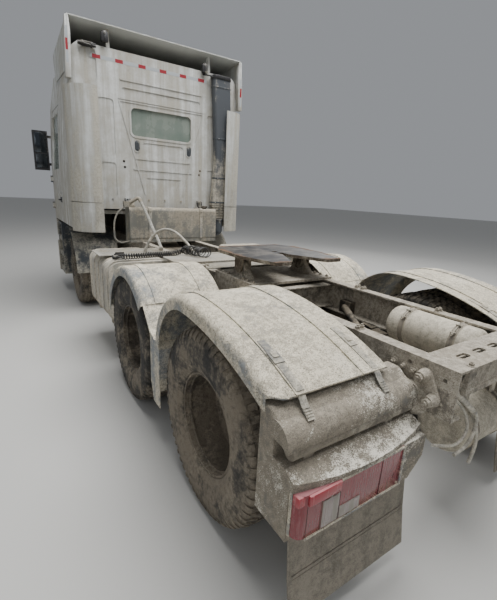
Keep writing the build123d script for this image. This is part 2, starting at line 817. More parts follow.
# Deck plates on the frame between the tank and the fifth wheel
deck_front = y_steer + 2200
deck_mid = y_steer + 2560
deck_rear = y_fifth - plate_front - 30
deck_wall = 8
side_step_in = 480
side_step_out = 1230
side_step_depth = 400
step_post_depth = 120
step_post_inset = 95
step_post_pitch = 210
side_step_z = tank_top + 20
tray_left = 650
tray_right = -80
tray_front = 456
tray_depth = 404
tray_height = 22
tray_wall = 4
tray_corner = 30
with BuildPart() as deck:
    with Locations((0, (deck_mid + deck_rear) / 2, frame_top + deck_wall / 2)):
        Box(2 * frame_half_width - 20, deck_rear - deck_mid, deck_wall)
    with Locations((0, (deck_front + deck_mid) / 2 - 10, frame_top + deck_wall / 2)):
        Box(2 * frame_half_width - 20, deck_mid - deck_front - 20, deck_wall)
    with Locations(((side_step_in + side_step_out) / 2, deck_front - side_step_depth / 2, side_step_z)):
        Box(side_step_out - side_step_in, side_step_depth, deck_wall)
    for x in (tank_inner + 180, tank_outer - 180):
        for y in (deck_front - step_post_inset, deck_front - step_post_inset - step_post_pitch):
            with Locations((x, y, (tank_top - tank_rib + side_step_z) / 2)):
                Box(30, step_post_depth, side_step_z - tank_top + tank_rib)
    with BuildSketch(Plane.XY.offset(frame_top + deck_wall)):
        with Locations(((tray_left + tray_right) / 2, tray_front + tray_depth / 2)):
            RectangleRounded(tray_left - tray_right, tray_depth, tray_corner)
            RectangleRounded(tray_left - tray_right - 2 * tray_wall, tray_depth - 2 * tray_wall,
                             tray_corner - tray_wall, mode=Mode.SUBTRACT)
    extrude(amount=tray_height)
    with BuildSketch(Plane.XY.offset(frame_top + deck_wall + tray_height)):
        with Locations(((tray_left + tray_right) / 2, tray_front + tray_depth / 2)):
            RectangleRounded(tray_left - tray_right, tray_depth, tray_corner)
    extrude(amount=-tray_wall)
    add(nozzle(braided_route[-1], braided_route[-2], elbow_diameter, 70))
    add(nozzle(arched_route[-1], arched_route[-2], arched_diameter + 6, 45))
    add(nozzle(arched_route[0], arched_route[1], arched_diameter + 6, 52))
save(deck, "deck")

# Drive fenders: a front arch, a long rear cover and the valley panel between them, each side
fender_span = fender_outer - fender_inner


def arc_band(y, inner, outer, start, stop):
    """Flat ring sector around a wheel centre at y, between two radii and two angles."""
    points = [(y + r * cos(radians(a)), z_hub + r * sin(radians(a)))
              for r, a in ((inner, start), (inner, (start + stop) / 2), (inner, stop),
                           (outer, stop), (outer, (start + stop) / 2), (outer, start))]
    with BuildSketch() as band:
        with BuildLine():
            ThreePointArc(points[0], points[1], points[2])
            Line(points[2], points[3])
            ThreePointArc(points[3], points[4], points[5])
            Line(points[5], points[0])
        make_face()
    return band.sketch


# The rear cover rises steeply to its crown and falls gently to its rear edge
rise_radius = ((crown_y - valley_y) ** 2 + (crown_z - valley_z) ** 2) / (2 * (crown_z - valley_z))
fall_radius = ((cover_rear_y - crown_y) ** 2 + (crown_z - cover_rear_z) ** 2) / (2 * (crown_z - cover_rear_z))
rise_angle = degrees(asin((crown_y - valley_y) / rise_radius))
fall_angle = degrees(asin((cover_rear_y - crown_y) / fall_radius))


def fender_profile(radius):
    """Skin across the truck at a radius: a crown with two raised bands, a rounded shoulder and a lip."""
    edge = fender_outer - fender_shoulder
    low = radius - fender_shoulder
    reach = fender_shoulder * sin(radians(45))
    inner_reach = (fender_shoulder - fender_wall) * sin(radians(45))
    steps = []
    for x in band_xs:
        steps += [(x - band_width / 2, radius), (x - band_width / 2, radius + band_height)]
        steps += [(x + band_width / 2, radius + band_height), (x + band_width / 2, radius)]
    with BuildSketch() as profile:
        with BuildLine():
            crown = Polyline((fender_inner, radius - fender_wall), (fender_inner, radius), *steps, (edge, radius))
            shoulder = ThreePointArc(crown @ 1, (edge + reach, low + reach), (fender_outer, low))
            lip = Polyline(
                shoulder @ 1,
                (fender_outer, radius - fender_lip),
                (fender_outer - fender_wall, radius - fender_lip),
                (fender_outer - fender_wall, low),
            )
            inside = ThreePointArc(lip @ 1, (edge + inner_reach, low + inner_reach), (edge, radius - fender_wall))
            Line(inside @ 1, crown @ 0)
        make_face()
    return profile.sketch


def turned_skin(y, z, radius, start, stop):
    """Fender skin turned about the point (y, z), from one angle above the horizontal to another."""
    turn = radians(start)
    with BuildPart() as skin:
        with BuildSketch(Plane(origin=(0, y, z), x_dir=(1, 0, 0), z_dir=(0, -sin(turn), cos(turn)))):
            add(fender_profile(radius))
        revolve(axis=Axis((0, y, z), (1, 0, 0)), revolution_arc=stop - start)
    return skin.part


def cover_height(inset):
    """Height of the middle of the rear cover's wall, at an inset behind the tail body's front."""
    reach = tail_front + inset - crown_y
    return crown_z - fall_radius + ((fall_radius - fender_wall / 2) ** 2 - reach ** 2) ** 0.5


seat_inset = 15
seat_length = 40
with BuildPart() as drive_fenders:
    add(turned_skin(y_drive_front, z_hub, fender_radius, front_cover_start, front_cover_stop))
    add(turned_skin(crown_y, crown_z - rise_radius, rise_radius, 90, 90 + rise_angle))
    add(turned_skin(crown_y, crown_z - fall_radius, fall_radius, 90 - fall_angle, 90))
    with BuildSketch(Plane.XY.offset(cover_rear_z - 2 * fender_lip)):
        with Locations((fender_outer, cover_rear_y)):
            Rectangle(2 * cover_corner, 2 * cover_corner)
        with Locations((fender_outer - cover_corner - corner_set_in, cover_rear_y - cover_corner - corner_set_in)):
            Circle(cover_corner, mode=Mode.SUBTRACT)
    extrude(amount=4 * fender_lip, mode=Mode.SUBTRACT)
    mirror(about=Plane.YZ)
    for _, sign in sides:
        with BuildSketch(Plane.YZ.offset(sign * fender_inner)):
            add(arc_band(y_drive_front, fender_radius - tab_height, fender_radius - 1, tab_start, tab_stop))
        extrude(amount=sign * fender_wall)
        for x in clamp_xs:
            with BuildSketch(Plane.YZ.offset(sign * (x - clamp_width / 2))):
                with BuildLine():
                    Polyline(
                        (tail_front + seat_inset, tail_top),
                        (tail_front + seat_inset + seat_length, tail_top),
                        (tail_front + seat_inset + seat_length, cover_height(seat_inset + seat_length)),
                        (tail_front + seat_inset, cover_height(seat_inset)),
                        close=True,
                    )
                make_face()
            extrude(amount=sign * clamp_width)

# Valley panels between the two drive wheels: a rounded V top with two hanging walls
front_end_y = y_drive_front + fender_radius * cos(radians(front_cover_start))
front_end_z = z_hub + fender_radius * sin(radians(front_cover_start))
lap_angle = radians(front_cover_start + 3)
lap_y = y_drive_front + (fender_radius - fender_wall + 2) * cos(lap_angle)
lap_z = z_hub + (fender_radius - fender_wall + 2) * sin(lap_angle)
with BuildPart() as valley_panels:
    for _, sign in sides:
        with BuildSketch(Plane.YZ.offset(sign * fender_inner)):
            with BuildLine():
                Polyline(
                    (lap_y, lap_z),
                    (front_end_y + fender_wall, front_end_z - 12),
                    (y_bogie - valley_half, valley_z + 20),
                    (y_bogie - 20, valley_z - 20),
                    (valley_y - 2, valley_z - 8),
                    (valley_y + 3, valley_z + 8),
                    (valley_y + 5, valley_z + 8),
                    (valley_y + 5, valley_z - 16),
                    (valley_wall_rear + fender_wall, valley_z - 60),
                    (valley_wall_rear + fender_wall, lower_bottom),
                    (valley_wall_rear, lower_bottom),
                    (valley_wall_rear, valley_z - 60),
                    (valley_wall_front, valley_z - 60),
                    (valley_wall_front, lower_bottom),
                    (y_bogie - valley_half, lower_bottom),
                    (y_bogie - valley_half, valley_z - 10),
                    (front_end_y, front_end_z - 18),
                    (lap_y - 3, lap_z - 4),
                    close=True,
                )
            make_face()
        extrude(amount=sign * (fender_span - panel_set_in))
        with BuildSketch(Plane.YZ.offset(sign * (fender_outer - panel_set_in))):
            with BuildLine():
                Polyline(
                    (valley_wall_front, valley_z - 62),
                    (valley_wall_rear + fender_wall, valley_z - 62),
                    (valley_wall_rear + fender_wall, panel_bottom),
                    (valley_wall_front + panel_taper, panel_bottom),
                    (valley_wall_front, lower_bottom),
                    close=True,
                )
            make_face()
        extrude(amount=-sign * fender_wall)
with BuildPart() as fender_set:
    add(drive_fenders.part)
    add(valley_panels.part)
save(fender_set, "drive_fenders")

# Tail bodies: moulded housings behind the rear wheels, hollow towards the wheel
tail_span = fender_outer - fender_wall - 1 - tail_inner
ledge_mid_x = (tail_inner + fender_outer) / 2
with BuildPart() as tail_panels:
    with BuildSketch(Plane.YZ.offset(tail_inner)):
        with BuildLine():
            body_top = Polyline(
                (tail_front, tail_bottom),
                (tail_front, tail_top),
                (cover_rear_y - 16, tail_top),
                (cover_rear_y + 30, tail_top - 34),
            )
            lip = ThreePointArc(
                body_top @ 1,
                (tail_lip_y - 22, (cover_rear_z + tail_lip_z) / 2 - 10),
                (tail_lip_y, tail_lip_z),
            )
            Polyline(
                lip @ 1,
                (tail_lip_y - 14, tail_lip_z),
                (bar_y, z_slot_top),
                (bar_y - slot_reach, z_slot_top),
                (bar_y - slot_reach, z_slot_floor),
                (bar_y + clamp_depth / 2, z_slot_floor),
                (ledge_rear, ledge_z + 18),
                (ledge_rear, ledge_z),
                (tail_back, ledge_z),
                (tail_back, tail_bottom),
                (tail_front, tail_bottom),
            )
        make_face()
    extrude(amount=tail_span)
    fillet(faces().sort_by(Axis.X)[-1].edges().filter_by(lambda edge: edge.center().Z > tail_top - 20), tail_edge_round)
    with BuildSketch(Plane.YZ.offset(tail_inner + 8)):
        with BuildLine():
            Polyline(
                (tail_front - tail_wall, tail_bottom - tail_wall),
                (tail_front - tail_wall, tail_top - tail_wall),
                (cover_rear_y - 20, tail_top - tail_wall),
                (bar_y - slot_reach - tail_wall, z_slot_top + 12),
                (bar_y - slot_reach - tail_wall, z_slot_floor - tail_wall),
                (bar_y, z_slot_floor - tail_wall),
                (tail_back - tail_wall, ledge_z - tail_wall),
                (tail_back - tail_wall, tail_bottom - tail_wall),
                close=True,
            )
        make_face()
    extrude(amount=tail_span - 14, mode=Mode.SUBTRACT)
    with BuildSketch(Plane.XY.offset(ledge_z)):
        with BuildLine():
            bow = ThreePointArc(
                (tail_inner, ledge_rear - ledge_bow),
                (ledge_mid_x, ledge_rear),
                (fender_outer, ledge_rear - ledge_bow),
            )
            Polyline(bow @ 1, (fender_outer, ledge_rear + 1), (tail_inner, ledge_rear + 1), bow @ 0)
        make_face()
    extrude(amount=z_slot_floor - ledge_z, mode=Mode.SUBTRACT)
    with BuildSketch(across(tail_back)):
        with BuildLine():
            Polyline(
                (tail_inner, ledge_z),
                (lamp_inner - lamp_seat_gap, ledge_z),
                (lamp_inner - lamp_seat_gap, ledge_z - lamp_height),
                (tail_inner + housing_chamfer, ledge_z - lamp_height),
                (tail_inner, ledge_z - lamp_height + housing_chamfer),
                close=True,
            )
        make_face()
    extrude(amount=-lamp_depth)
    mirror(about=Plane.YZ)
save(tail_panels, "tail_panels")

# Lamps: wide tail lamps under the tail ledges and headlamps in the bumper
headlamp_x = 960
headlamp_z = 600
headlamp_width = 360
headlamp_height = 190
bumper_wall = 30
headlamp_depth = 70
headlamp_inset = 10
with BuildPart() as lamps:
    with BuildSketch(Plane.XY.offset(ledge_z - lamp_height)):
        with Locations((lamp_inner + lamp_width / 2, tail_back + lamp_depth / 2)):
            Rectangle(lamp_width, lamp_depth)
        fillet(vertices().group_by(Axis.Y)[-1].sort_by(Axis.X)[-1], lamp_corner)
    extrude(amount=lamp_height)
    with Locations((headlamp_x, y_nose + headlamp_inset + headlamp_depth / 2, headlamp_z)):
        Box(headlamp_width, headlamp_depth, headlamp_height)
    mirror(about=Plane.YZ)
save(lamps, "lamps")

# Mudflaps hanging from the tail bodies
flap_top_y = tail_back - tail_wall + (tail_wall - flap_wall) / 2
with BuildPart() as mudflaps:
    for _, sign in sides:
        with BuildSketch(Plane.YZ.offset(sign * (tail_inner + 10))):
            with BuildLine():
                Polyline(
                    (flap_top_y, tail_bottom),
                    (flap_top_y + flap_wall, tail_bottom),
                    (flap_top_y + flap_wall + 20, (tail_bottom + flap_bottom) / 2),
                    (flap_top_y + flap_wall + 50, flap_bottom),
                    (flap_top_y + 50, flap_bottom),
                    (flap_top_y + 20, (tail_bottom + flap_bottom) / 2),
                    close=True,
                )
            make_face()
        extrude(amount=sign * (fender_outer - 30 - tail_inner - 10))
save(mudflaps, "mudflaps")

# Round tubes from the rails that carry the fenders and tail bodies, with cast roots
tube_end_gap = 45
end_foot_wall = 12
boss_radius = 60
with BuildPart() as fender_tubes:
    for _, sign in sides:
        with Locations(Location((sign * (frame_half_width + bracket_wall), y_bogie, z_fender_tube), (0, sign * 90, 0))):
            Cylinder(fender_tube_radius, fender_outer - tube_end_gap - frame_half_width - bracket_wall,
                     align=(Align.CENTER, Align.CENTER, Align.MIN))
        with Locations(Location((sign * frame_half_width, bar_y, bar_z), (0, sign * 90, 0))):
            Cylinder(bar_radius, fender_outer - tube_end_gap - frame_half_width, align=(Align.CENTER, Align.CENTER, Align.MIN))
        with Locations(Location((sign * frame_half_width, bar_y - 20, bar_z + 40), (0, sign * 90, 0))):
            Cylinder(boss_radius, 34, align=(Align.CENTER, Align.CENTER, Align.MIN))
        for x in clamp_xs:
            with Locations((sign * x, bar_y, (z_slot_floor + bar_z) / 2)):
                Box(clamp_width, clamp_depth - 10, bar_z - z_slot_floor)
            with Locations((sign * x, (valley_wall_front + valley_wall_rear) / 2, z_fender_tube)):
                Box(clamp_width, valley_wall_rear - valley_wall_front, clamp_depth)
        with Locations((sign * (frame_half_width + fender_inner) / 2, y_front_arm, z_front_arm)):
            Box(fender_inner - frame_half_width, front_arm_depth, front_arm_height)
        with Locations((sign * (frame_half_width + end_foot_wall / 2), y_front_arm, z_front_arm - front_arm_height)):
            Box(end_foot_wall, front_arm_depth, 2 * front_arm_height)
with BuildPart() as body_brackets:
    add(side_brackets.part)
    add(fender_tubes.part)
save(body_brackets, "body_brackets")

# Bumper: curved beam with pockets for the headlamps
bumper_top = 822
bumper_bottom = 300
bumper_side = 255
bumper_corner = 170
bumper_arm_width = 60
bumper_arm_height = 75
z_bumper_arm = bumper_top - bumper_arm_height / 2 - 10
end_plate_wall = 12
end_plate_top = frame_top - 90
x_rail = frame_half_width - rail_flange / 2
with BuildPart() as bumper:
    with BuildSketch(Plane.XY.offset(bumper_bottom)):
        with Locations((0, y_nose + 400)):
            RectangleRounded(2 * cab_half_width, 800, bumper_corner)
        with Locations((0, y_nose + 400 + bumper_wall)):
            RectangleRounded(2 * (cab_half_width - bumper_wall), 800, bumper_corner - bumper_wall, mode=Mode.SUBTRACT)
        with Locations((0, y_nose + bumper_side + 500)):
            Rectangle(2 * overall_length, 1000, mode=Mode.SUBTRACT)
    extrude(amount=bumper_top - bumper_bottom)
    for _, sign in sides:
        with Locations((sign * headlamp_x, y_nose + 40, headlamp_z)):
            Box(headlamp_width, 120, headlamp_height, mode=Mode.SUBTRACT)
    for _, sign in sides:
        with Locations((sign * x_rail, (y_nose + bumper_wall + y_rail_front) / 2, z_bumper_arm)):
            Box(bumper_arm_width, y_rail_front - y_nose - bumper_wall, bumper_arm_height)
        with Locations((sign * x_rail, y_rail_front - end_plate_wall / 2, (z_bumper_arm + end_plate_top) / 2)):
            Box(rail_flange, end_plate_wall, end_plate_top - z_bumper_arm + bumper_arm_height)
save(bumper, "bumper")

# Entry steps below the doors
step_front = y_cab_front + 215
step_rear = y_steer - 700
step_top = 1190
step_bottom = 320
with BuildPart() as steps:
    for _, sign in sides:
        with Locations((sign * 965, (step_front + step_rear) / 2, (step_bottom + step_top) / 2)):
            Box(530, step_rear - step_front, step_top - step_bottom)
        for level in (0, 1, 2):
            with Locations((sign * (1230 - 110), (step_front + step_rear) / 2 - 20, step_bottom + 190 + level * 270)):
                Box(260, step_rear - step_front - 100, 200, mode=Mode.SUBTRACT)
        with Locations((sign * (frame_half_width + 700) / 2, (step_front + step_rear) / 2, rail_mid)):
            Box(700 - frame_half_width, 120, 120)
save(steps, "steps")

# Front mudguards over the steered wheels
guard_radius = 650
guard_wall = 6
with BuildPart() as front_mudguards:
    for _, sign in sides:
        with BuildSketch(Plane.YZ.offset(sign * 640)):
            add(arc_band(y_steer, guard_radius, guard_radius + guard_wall, 5, 160))
        extrude(amount=sign * 590)
        for angle_y in (-1, 1):
            with Locations((sign * (frame_half_width + 650) / 2, y_steer + angle_y * 460, 1010)):
                Box(650 - frame_half_width, 50, 40)
save(front_mudguards, "front_mudguards")

# Cab mounts: front hinge brackets and the rear bridge the cab floor comes down on
arm_x = 520
arm_width_x = 40
cheek_wall = 16
mount_gap = 5
with BuildPart() as cab_mounts:
    for _, sign in sides:
        with Locations((sign * (frame_half_width + 85), y_rail_front + 60, z_tilt)):
            Box(170, 80, 120)
        for side_x in (arm_x - arm_width_x / 2 - mount_gap - cheek_wall / 2, arm_x + arm_width_x / 2 + mount_gap
                       + cheek_wall / 2):
            with Locations((sign * side_x, (y_tilt - 35 + y_rail_front + 60) / 2, z_tilt)):
                Box(cheek_wall, y_rail_front + 60 - y_tilt + 35, 80)
            with Locations(Location((sign * side_x, y_tilt, z_tilt), (0, 90, 0))):
                Cylinder(tilt_pin_radius + 0.05, cheek_wall + 2, mode=Mode.SUBTRACT)
        with Locations((sign * (frame_half_width - rail_flange / 2), y_cab_rear - 120, (frame_top + 1330) / 2)):
            Box(rail_flange, 80, 1330 - frame_top)
    with Locations((0, y_cab_rear - 120, (1330 + cab_floor_bottom - moving_gap) / 2)):
        Box(1040, 80, cab_floor_bottom - moving_gap - 1330)
save(cab_mounts, "cab_mounts")

# Air filter housing under the intake's boot, with a domed foot, held by the tank's end
filter_x = -830
filter_y = y_cab_rear + 90
filter_radius = 85
filter_top = 1370
filter_dome_z = 1215
filter_flange = 12
filter_flange_wall = 15
with BuildPart() as air_filter:
    with Locations((filter_x, filter_y, filter_dome_z)):
        Cylinder(filter_radius, filter_top - filter_dome_z, align=(Align.CENTER, Align.CENTER, Align.MIN))
        Sphere(filter_radius)
    with Locations((filter_x, filter_y, filter_top)):
        Cylinder(filter_radius + filter_flange, filter_flange_wall, align=(Align.CENTER, Align.CENTER, Align.MIN))
    with Locations(((hydraulic_right + filter_x + filter_radius - 15) / 2, filter_y + 20, (filter_top + filter_dome_z) / 2)):
        Box(hydraulic_right - filter_x - filter_radius + 15, 40, 60)
save(air_filter, "air_filter")


def cab_block(inset):
    """Whole cab outline as one block, drawn smaller by the inset all round."""
    front = y_cab_front + inset
    rear = y_cab_rear - inset
    with BuildPart() as block:
        with BuildSketch(Plane.YZ):
            with BuildLine():
                Polyline(
                    (front + 900, z_roof_crown - inset),
                    (rear, z_roof_rear - inset),
                    (rear, 900),
                    (front, 900),
                    (front, z_sill),
                    (front + 210, z_roof_seam),
                )
                ThreePointArc(
                    (front + 210, z_roof_seam),
                    (front + 400, z_roof_seam + 400 - inset),
                    (front + 900, z_roof_crown - inset),
                )
            make_face()
        extrude(amount=cab_half_width, both=True)
        with BuildSketch(across(0)):
            with BuildLine():
                Polyline(
                    (0, z_roof_crown + 40 - inset),
                    (950 - inset, z_roof_crown + 10 - inset),
                    (1130 - inset, z_roof_crown - 140 - inset),
                    (cab_top_half_width - inset, z_roof_seam),
                    (cab_half_width - inset, z_belt),
                    (cab_half_width - inset, 900),
                    (0, 900),
                    close=True,
                )
            make_face()
            mirror(about=Plane.YZ)
        extrude(amount=overall_length, both=True, mode=Mode.INTERSECT)
        with BuildSketch(Plane.XY):
            with Locations((0, (front + rear) / 2)):
                RectangleRounded(2 * (cab_half_width - inset), rear - front, 180 - inset)
        extrude(amount=4000, mode=Mode.INTERSECT)
    return block.part


with BuildPart() as cab_shell:
    add(cab_block(0))
    add(cab_block(cab_wall), mode=Mode.SUBTRACT)

# Cab floor with tilt arms and their pins
with BuildPart() as cab_floor:
    add(cab_block(cab_wall))
    with Locations((0, 0, cab_floor_bottom + cab_floor_wall / 2)):
        Box(3000, 9000, cab_floor_wall, mode=Mode.INTERSECT)
    for _, sign in sides:
        with Locations((sign * arm_x, y_tilt, (z_tilt + cab_floor_bottom) / 2)):
            Box(arm_width_x, 60, cab_floor_bottom - z_tilt)
        with Locations(Location((sign * arm_x, y_tilt, z_tilt), (0, 90, 0))):
            Cylinder(30, arm_width_x)
            Cylinder(tilt_pin_radius, arm_width_x + 2 * mount_gap + 2 * cheek_wall)
save(cab_floor, "cab_floor")

# Cab front: lower panel and windscreen frame, taking in the rounded corners
y_front_split = door_front - door_gap
split_slant = door_slant * (z_roof_seam - z_sill) / (door_top + door_gap - z_sill)
with BuildPart() as front_region:
    with BuildSketch(Plane.YZ):
        with BuildLine():
            Polyline(
                (y_cab_front - 500, cab_front_bottom),
                (y_front_split, cab_front_bottom),
                (y_front_split, z_sill),
                (y_front_split + split_slant, z_roof_seam),
                (y_cab_front - 500, z_roof_seam),
                close=True,
            )
        make_face()
    extrude(amount=3000, both=True)
with BuildPart() as screen_region:
    with BuildSketch(across(y_cab_front - 500)):
        with Locations((0, 2430)):
            RectangleRounded(2 * cab_half_width - 380, 840, 70)
    extrude(amount=-900)
grille_slot = 62
grille_depth = 26
# Columns: z and width of each grille slot
grille_rows = ((1040, 1500), (1150, 1540), (1260, 1580), (1370, 1620), (1560, 1500), (1650, 1500), (1740, 1500))
with BuildPart() as cab_front:
    add(cab_shell.part)
    add(front_region.part, mode=Mode.INTERSECT)
    add(screen_region.part, mode=Mode.SUBTRACT)
    for z, width in grille_rows:
        with BuildSketch(across(y_cab_front)):
            with Locations((0, z)):
                RectangleRounded(width, grille_slot, 12)
        extrude(amount=-grille_depth, mode=Mode.SUBTRACT)
save(cab_front, "cab_front")

# Cab roof above the seam
roof_press_depth = 12
# Columns: x, z, width, height and corner radius of each recess in the rear of the high roof
roof_recesses = (
    (0, 3010, 1100, 46, 20),
    (950, 3220, 190, 360, 60),
    (-950, 3220, 190, 360, 60),
)
with BuildPart() as cab_roof:
    add(cab_shell.part)
    with Locations((0, 0, z_roof_seam + 1000)):
        Box(5000, 9000, 2000, mode=Mode.INTERSECT)
    for x, z, width, height, radius in roof_recesses:
        with BuildSketch(across(y_cab_rear)):
            with Locations((x, z)):
                RectangleRounded(width, height, radius)
        extrude(amount=roof_press_depth, mode=Mode.SUBTRACT)
    with BuildSketch(across(y_cab_rear)):
        with Locations((0, 3125)):
            SlotOverall(1160, 26)
    extrude(amount=-10)
save(cab_roof, "cab_roof")

# Rear wall below the seam with its window
window_left = 450
window_right = -410
window_bottom = 2470
window_top = 2810
window_radius = 60
with BuildPart() as window_region:
    with BuildSketch(across(y_cab_rear - 500)):
        with Locations(((window_left + window_right) / 2, (window_bottom + window_top) / 2)):
            RectangleRounded(window_left - window_right, window_top - window_bottom, window_radius)
    extrude(amount=-1000)
press_depth = 9
bead_depth = 8
bead_width = 16
vent_x = 380
vent_z = 2345
vent_height = 140
vent_width = 75
# Columns: x, z, width, height and corner radius of each pressed recess
rear_recesses = (
    (0, 2300, 600, 190, 45),
    (765, 2535, 190, 680, 40),
    (-765, 2535, 190, 680, 40),
    (765, 1885, 190, 440, 40),
    (-765, 1885, 190, 440, 40),
)
# Columns: z and half length of each level bead
rear_beads = ((2900, 610), (2872, 600), (2180, 400), (2040, 440))
with BuildPart() as cab_rear_wall:
    add(cab_shell.part)
    with Locations((0, y_cab_rear - cab_wall + 500, (rear_wall_bottom + z_roof_seam) / 2)):
        Box(3000, 1000, z_roof_seam - rear_wall_bottom, mode=Mode.INTERSECT)
    add(window_region.part, mode=Mode.SUBTRACT)
    for x, z, width, height, radius in rear_recesses:
        with BuildSketch(across(y_cab_rear)):
            with Locations((x, z)):
                RectangleRounded(width, height, radius)
        extrude(amount=press_depth, mode=Mode.SUBTRACT)
    with BuildSketch(across(y_cab_rear)):
        with Locations((0, 1860)):
            Trapezoid(510, 150, 65, rotation=180)
    extrude(amount=press_depth, mode=Mode.SUBTRACT)
    for z, half in rear_beads:
        with BuildSketch(across(y_cab_rear)):
            with Locations((0, z)):
                SlotOverall(2 * half, bead_width)
        extrude(amount=-bead_depth)
    with BuildSketch(across(y_cab_rear)):
        for _, sign in sides:
            with Locations((sign * 440, 2285)):
                SlotOverall(1210, bead_width, rotation=90 - sign * 15.4)
            with Locations((sign * vent_x, vent_z)):
                SlotOverall(vent_height + 24, vent_width + 24, rotation=90)
                SlotOverall(vent_height, vent_width, rotation=90, mode=Mode.SUBTRACT)
        with Locations(((window_left + window_right) / 2, (window_bottom + window_top) / 2)):
            RectangleRounded(window_left - window_right + 56, window_top - window_bottom + 56, window_radius + 28)
            RectangleRounded(window_left - window_right, window_top - window_bottom, window_radius,
                             mode=Mode.SUBTRACT)
    extrude(amount=-bead_depth)
    for _, sign in sides:
        with Locations((sign * 545, y_cab_rear + 12, 1635)):
            Box(70, 24, 36)
save(cab_rear_wall, "cab_rear_wall")

# Side panels with the door openings
door_rear = door_front + door_width


def door_region(gap):
    """Block through both cab sides in the outline of a door, grown by a gap all round."""
    with BuildPart() as region:
        with BuildSketch(Plane.YZ):
            with BuildLine():
                Polyline(
                    (door_front - gap, door_bottom - gap - 200),
                    (door_front - gap, z_sill),
                    (door_front - gap + door_slant, door_top + gap),
                    (door_rear + gap, door_top + gap),
                    (door_rear + gap, door_bottom - gap - 200),
                    close=True,
                )
            make_face()
        extrude(amount=3000, both=True)
    return region.part


with BuildPart() as side_region:
    with BuildSketch(Plane.YZ):
        with BuildLine():
            Polyline(
                (y_front_split, door_bottom),
                (y_cab_rear - cab_wall, door_bottom),
                (y_cab_rear - cab_wall, z_roof_seam),
                (y_front_split + split_slant, z_roof_seam),
                (y_front_split, z_sill),
                close=True,
            )
        make_face()
    extrude(amount=3000, both=True)
with BuildPart() as cab_sides:
    add(cab_shell.part)
    add(side_region.part, mode=Mode.INTERSECT)
    add(door_region(door_gap), mode=Mode.SUBTRACT)
save(cab_sides, "cab_sides")

# Doors with window openings, hinge leaves and knuckles, and panes set in them
pane_inset_front = 90
pane_bottom = 2020
pane_top = 2800
x_hinge = cab_half_width + knuckle_radius + 6
y_hinge = door_front - 6
leaf_wall = 8
with BuildPart() as pane_region:
    with BuildSketch(Plane.YZ):
        with BuildLine():
            Polyline(
                (door_front + pane_inset_front, pane_bottom),
                (door_front + pane_inset_front + door_slant - 20, pane_top),
                (door_rear - 90, pane_top),
                (door_rear - 90, pane_bottom),
                close=True,
            )
        make_face()
    extrude(amount=3000, both=True)
with BuildPart() as door_pair:
    add(cab_shell.part)
    add(door_region(0), mode=Mode.INTERSECT)
    with Locations((0, 0, door_bottom + 4000)):
        Box(5000, 9000, 8000, mode=Mode.INTERSECT)
with BuildPart() as pane_slab:
    with BuildSketch(across(0)):
        with BuildLine():
            Polyline(
                (cab_half_width - 22, 1500),
                (cab_half_width - 22, z_belt),
                (cab_top_half_width - 22, z_roof_seam),
                (cab_top_half_width - 22 - glass_wall, z_roof_seam),
                (cab_half_width - 22 - glass_wall, z_belt),
                (cab_half_width - 22 - glass_wall, 1500),
                close=True,
            )
        make_face()
        mirror(about=Plane.YZ)
    extrude(amount=overall_length, both=True)
for name, sign in sides:
    with BuildPart() as half_space:
        with Locations((sign * 2500, 0, 2500)):
            Box(5000, 9000, 9000)
    with BuildPart() as door:
        add(door_pair.part)
        add(half_space.part, mode=Mode.INTERSECT)
        add(pane_region.part, mode=Mode.SUBTRACT)
        for z in hinge_heights:
            with Locations((sign * (x_hinge - 4), y_hinge + 45, z)):
                Box(leaf_wall, 90, knuckle_height)
            with Locations((sign * (cab_half_width + 3), y_hinge + 65, z)):
                Box(knuckle_radius + 12, 50, knuckle_height)
            with Locations((sign * x_hinge, y_hinge, z)):
                Cylinder(knuckle_radius, knuckle_height)
                Cylinder(pin_radius + 0.05, knuckle_height, mode=Mode.SUBTRACT)
        with Locations((sign * (cab_half_width + 14), door_rear - 110, 1640)):
            Box(28, 150, 36)
    save(door, f"door_{name}")
    with BuildPart() as door_glass:
        add(pane_slab.part)
        add(half_space.part, mode=Mode.INTERSECT)
        add(pane_region.part, mode=Mode.INTERSECT)
    save(door_glass, f"door_glass_{name}")

# Door hinges on the cab: pins with end caps, on leaves fixed to the front corners
cap_height = 20
with BuildPart() as door_hinges:
    for _, sign in sides:
        for z in hinge_heights:
            with Locations((sign * x_hinge, y_hinge, z)):
                Cylinder(pin_radius, knuckle_height + 2 * cap_height)
            for end in (-1, 1):
                z_cap = z + end * (knuckle_height / 2 + cap_height / 2 + 5)
                with Locations((sign * x_hinge, y_hinge, z_cap)):
                    Cylinder(knuckle_radius, cap_height - 4)
                with Locations((sign * (x_hinge - 4), y_hinge - 20, z_cap)):
                    Box(leaf_wall, 40, cap_height - 4)
                with Locations((sign * (cab_half_width + (x_hinge - cab_half_width) / 2), y_hinge - 20, z_cap)):
                    Box(x_hinge - cab_half_width, 40, cap_height - 4)
save(door_hinges, "door_hinges")

# Windscreen and rear window panes
with BuildPart() as cab_glass:
    add(cab_block(20))
    add(cab_block(20 + glass_wall), mode=Mode.SUBTRACT)
    add(front_region.part, mode=Mode.INTERSECT)
    add(screen_region.part, mode=Mode.INTERSECT)
    with BuildSketch(across(y_cab_rear - 20)):
        with Locations(((window_left + window_right) / 2, (window_bottom + window_top) / 2)):
            RectangleRounded(window_left - window_right, window_top - window_bottom, window_radius)
    extrude(amount=glass_wall)
save(cab_glass, "cab_glass")

